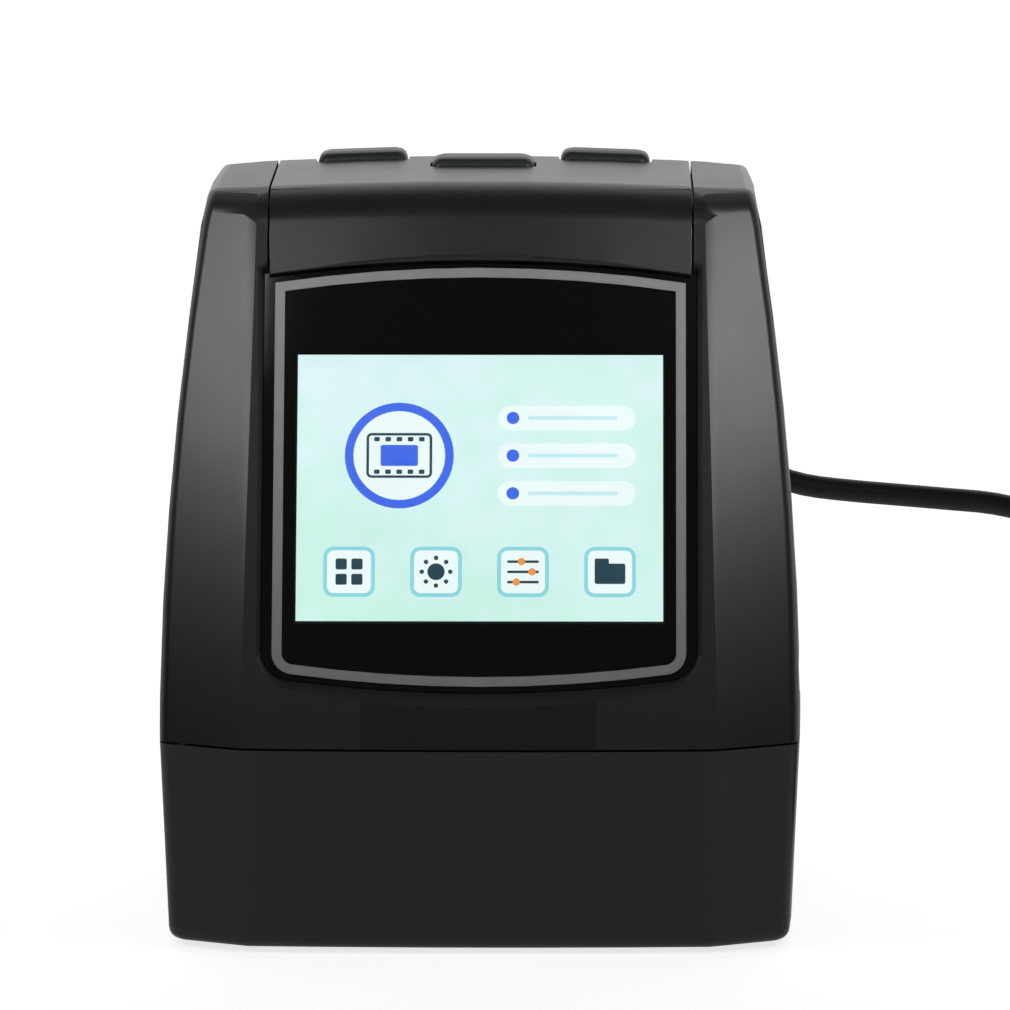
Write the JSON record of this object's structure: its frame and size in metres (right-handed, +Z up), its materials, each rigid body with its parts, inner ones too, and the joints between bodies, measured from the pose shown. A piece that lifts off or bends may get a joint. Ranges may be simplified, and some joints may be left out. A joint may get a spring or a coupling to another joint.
{
  "type": "film negative scanner",
  "caption": "Small stand-alone film negative scanner with a leaning front, a window over a lit screen, push buttons on top, and a cable from the rear.",
  "frame": {"origin": "on the desk, under the middle of the body", "axes": "+X to the viewer's right, +Y away from the viewer towards the rear sockets, +Z up"},
  "size_m": [0.191, 0.135, 0.1008],
  "materials": {
    "shell_black": "fine matte moulded plastic",
    "panel_black": "fine matte moulded plastic",
    "button_grey": "satin moulded plastic",
    "window_black": "gloss black acrylic",
    "border_grey": "printed line",
    "screen": "lit colour panel",
    "rubber": "soft rubber",
    "board_green": "solder mask on fibreglass",
    "led_white": "phosphor under clear resin",
    "white_plastic": "matte white plastic",
    "inner_black": "matte moulded plastic",
    "optical_glass": "polished glass",
    "chip_black": "moulded epoxy",
    "ribbon": "polyimide film",
    "tinned_steel": "tin plated sheet",
    "screw_steel": "zinc plated",
    "plunger_red": "moulded plastic",
    "cable_black": "smooth soft plastic"
  },
  "bodies": {
    "scanner": {"base_shell": "shell_black", "rubber_feet": "rubber", "light_board": "board_green", "leds": "led_white", "light_box": "white_plastic", "diffuser": "white_plastic", "film_stage": "inner_black", "film_guide": "inner_black", "optics_tower": "inner_black", "lens_barrel": "inner_black", "lens_elements": "optical_glass", "lens_mount": "inner_black", "image_sensor": "chip_black", "sensor_board": "board_green", "sensor_ribbon": "ribbon", "main_board": "board_green", "main_chips": "chip_black", "usb_socket": "tinned_steel", "card_socket": "tinned_steel", "video_jack": "chip_black", "light_ribbon": "ribbon", "rear_shell": "shell_black", "front_shell": "shell_black", "top_panel": "panel_black", "window_lens": "window_black", "window_border": "border_grey", "screen_gasket": "rubber", "screen_frame": "inner_black", "screen_panel": "screen", "screen_board": "board_green", "screen_ribbon": "ribbon", "key_board": "board_green", "tact_switches": "chip_black", "base_screws": "screw_steel", "guide_screws": "screw_steel", "housing_screws": "screw_steel", "plug_contact": "tinned_steel", "plug_grip": "cable_black", "strain_relief": "cable_black", "cable_run": "cable_black", "cable_coil": "cable_black", "cable_tie": "cable_black", "end_relief": "cable_black", "end_grip": "cable_black", "end_contact": "tinned_steel"},
    "left_button": {"button_left": "button_grey", "plunger_left": "plunger_red"},
    "middle_button": {"button_middle": "button_grey", "plunger_middle": "plunger_red"},
    "right_button": {"button_right": "button_grey", "plunger_right": "plunger_red"}
  },
  "joints": [
    {"name": "left_button_press", "type": "slide", "parent": "scanner", "child": "left_button", "axis": [0, 0, -1], "range_m": [0, 0.0007], "stiffness_N_per_m": 200, "springref_m": -0.0005},
    {"name": "middle_button_press", "type": "slide", "parent": "scanner", "child": "middle_button", "axis": [0, 0, -1], "range_m": [0, 0.0007], "stiffness_N_per_m": 200, "springref_m": -0.0005},
    {"name": "right_button_press", "type": "slide", "parent": "scanner", "child": "right_button", "axis": [0, 0, -1], "range_m": [0, 0.0007], "stiffness_N_per_m": 200, "springref_m": -0.0005}
  ]
}
